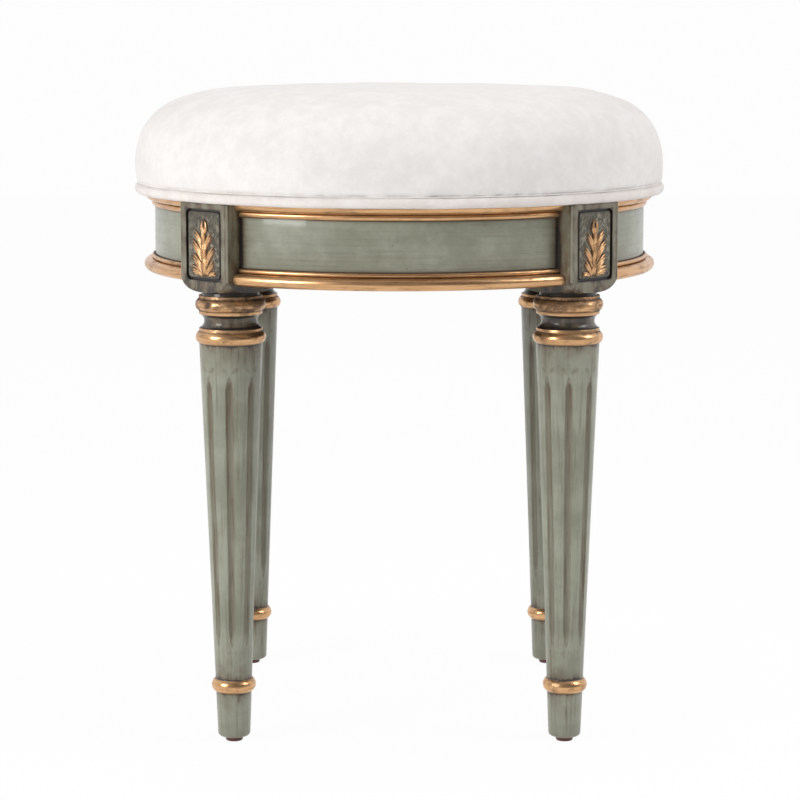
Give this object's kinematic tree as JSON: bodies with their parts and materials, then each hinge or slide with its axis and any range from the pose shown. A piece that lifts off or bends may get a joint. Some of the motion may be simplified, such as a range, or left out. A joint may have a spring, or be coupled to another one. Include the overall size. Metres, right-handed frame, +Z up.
{
  "type": "vanity stool",
  "caption": "Round upholstered vanity stool with a welted cushion, a painted apron with gilt mouldings and leaf panels, and tapered fluted legs.",
  "frame": {"origin": "on the floor, straight below the middle of the seat", "axes": "+Z up through the middle of the seat, front bay of the apron towards -Y"},
  "size_m": [0.4084, 0.4082, 0.485],
  "materials": {
    "painted_wood": "sage green paint, brown glaze rubbed into the flutes and corners, satin lacquer",
    "panel_paint": "dark olive glaze over sage green, satin",
    "gilt": "antique copper gold leaf, worn to dark brown in the hollows",
    "bare_wood": "bare hardwood",
    "plywood": "bare plywood",
    "foam": "open-cell foam",
    "upholstery": "short-nap cream velvet",
    "dust_cloth": "black non-woven cloth",
    "glide": "dark red-brown moulded plastic",
    "steel": "zinc-plated steel"
  },
  "bodies": {
    "root": {"apron_back": "painted_wood", "apron_front": "painted_wood", "apron_left": "painted_wood", "apron_right": "painted_wood", "base_moulding_back": "gilt", "base_moulding_front": "gilt", "base_moulding_left": "gilt", "base_moulding_right": "gilt", "cleat_back": "bare_wood", "cleat_front": "bare_wood", "cleat_left": "bare_wood", "cleat_right": "bare_wood", "dowels": "bare_wood", "dust_cover": "dust_cloth", "foam_pad": "foam", "glide_back_left": "glide", "glide_back_right": "glide", "glide_front_left": "glide", "glide_front_right": "glide", "glide_nails": "steel", "leaf_back_left": "gilt", "leaf_back_right": "gilt", "leaf_front_left": "gilt", "leaf_front_right": "gilt", "leg_back_left": "painted_wood", "leg_back_right": "painted_wood", "leg_front_left": "painted_wood", "leg_front_right": "painted_wood", "panel_back_left": "panel_paint", "panel_back_right": "panel_paint", "panel_front_left": "panel_paint", "panel_front_right": "panel_paint", "seat_board": "plywood", "seat_cover": "upholstery", "seat_screws": "steel", "seat_washers": "steel", "staples": "steel", "top_moulding_back": "gilt", "top_moulding_front": "gilt", "top_moulding_left": "gilt", "top_moulding_right": "gilt", "welt": "upholstery"}
  },
  "joints": []
}
